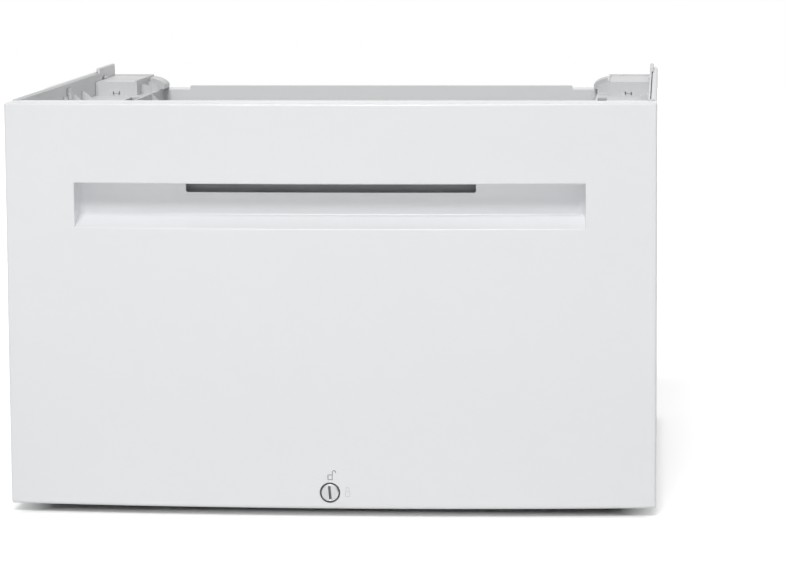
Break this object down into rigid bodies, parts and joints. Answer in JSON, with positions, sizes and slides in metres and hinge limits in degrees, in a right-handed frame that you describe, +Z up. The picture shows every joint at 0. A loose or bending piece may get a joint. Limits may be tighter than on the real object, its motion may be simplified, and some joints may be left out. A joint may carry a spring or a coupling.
{
  "type": "washer pedestal drawer",
  "caption": "Low pedestal for a washing machine with a bowed pull-out drawer, a grip recess, a coin lock, moulded foot supports and levelling feet.",
  "frame": {"origin": "on the floor, under the centre of the overall box", "axes": "+X to the right as seen from the front, +Y to the back, +Z up; the drawer opens towards -Y"},
  "size_m": [0.6, 0.5662, 0.3875],
  "materials": {
    "front_gloss": "smooth glossy white moulding",
    "white_enamel": "fine powder coat on sheet steel",
    "moulding_plastic": "satin white glass-filled moulding",
    "pocket_plastic": "matt grey moulding",
    "zinc_steel": "zinc-plated sheet steel",
    "lock_nickel": "satin nickel",
    "black_rubber": "matt black rubber"
  },
  "bodies": {
    "carcass": {"side_panel_left": "white_enamel", "side_panel_right": "white_enamel", "inner_skin_left": "white_enamel", "inner_skin_right": "white_enamel", "wall_clip_1_left": "moulding_plastic", "wall_clip_1_right": "moulding_plastic", "wall_clip_2_left": "moulding_plastic", "wall_clip_2_right": "moulding_plastic", "wall_clip_3_left": "moulding_plastic", "wall_clip_3_right": "moulding_plastic", "rear_panel": "white_enamel", "base_rail_front": "zinc_steel", "base_rail_rear": "zinc_steel", "top_rail_front": "white_enamel", "support_rail_left": "moulding_plastic", "support_rail_right": "moulding_plastic", "runner_outer_left": "zinc_steel", "runner_outer_right": "zinc_steel", "foot_nut_front_left": "zinc_steel", "foot_nut_front_right": "zinc_steel", "foot_nut_rear_left": "zinc_steel", "foot_nut_rear_right": "zinc_steel", "buffer_low_left": "black_rubber", "buffer_low_right": "black_rubber", "buffer_high_left": "black_rubber", "buffer_high_right": "black_rubber"},
    "runner_left": {"runner_middle_left": "zinc_steel"},
    "runner_right": {"runner_middle_right": "zinc_steel"},
    "drawer": {"drawer_front": "front_gloss", "grip_pocket": "pocket_plastic", "front_liner": "white_enamel", "tray_side_left": "white_enamel", "tray_side_right": "white_enamel", "tray_floor": "white_enamel", "tray_back": "white_enamel", "runner_inner_left": "zinc_steel", "runner_inner_right": "zinc_steel", "lock_bush": "lock_nickel", "lock_nut": "zinc_steel"},
    "lock": {"lock_cylinder": "lock_nickel", "lock_cam": "zinc_steel", "cam_screw": "zinc_steel"},
    "foot_front_left": {"foot_pad_front_left": "black_rubber", "foot_stud_front_left": "zinc_steel"},
    "foot_front_right": {"foot_pad_front_right": "black_rubber", "foot_stud_front_right": "zinc_steel"},
    "foot_rear_left": {"foot_pad_rear_left": "black_rubber", "foot_stud_rear_left": "zinc_steel"},
    "foot_rear_right": {"foot_pad_rear_right": "black_rubber", "foot_stud_rear_right": "zinc_steel"}
  },
  "joints": [
    {"name": "drawer_slide", "type": "slide", "parent": "carcass", "child": "drawer", "axis": [0, -1, 0], "range_m": [0, 0.4]},
    {"name": "runner_left_slide", "type": "slide", "parent": "carcass", "child": "runner_left", "axis": [0, -1, 0], "range_m": [0, 0.2]},
    {"name": "runner_right_slide", "type": "slide", "parent": "carcass", "child": "runner_right", "axis": [0, -1, 0], "range_m": [0, 0.2]},
    {"name": "lock_turn", "type": "hinge", "parent": "drawer", "child": "lock", "pos_m": [0, -0.2819, 0.0232], "axis": [0, 1, 0], "range_deg": [0, 90]},
    {"name": "foot_front_left_height", "type": "slide", "parent": "carcass", "child": "foot_front_left", "axis": [0, 0, -1], "range_m": [0, 0.012]},
    {"name": "foot_front_right_height", "type": "slide", "parent": "carcass", "child": "foot_front_right", "axis": [0, 0, -1], "range_m": [0, 0.012]},
    {"name": "foot_rear_left_height", "type": "slide", "parent": "carcass", "child": "foot_rear_left", "axis": [0, 0, -1], "range_m": [0, 0.012]},
    {"name": "foot_rear_right_height", "type": "slide", "parent": "carcass", "child": "foot_rear_right", "axis": [0, 0, -1], "range_m": [0, 0.012]}
  ],
  "couplings": [
    {"joint": "runner_left_slide", "follows": "drawer_slide", "ratio": 0.5},
    {"joint": "runner_right_slide", "follows": "drawer_slide", "ratio": 0.5}
  ]
}
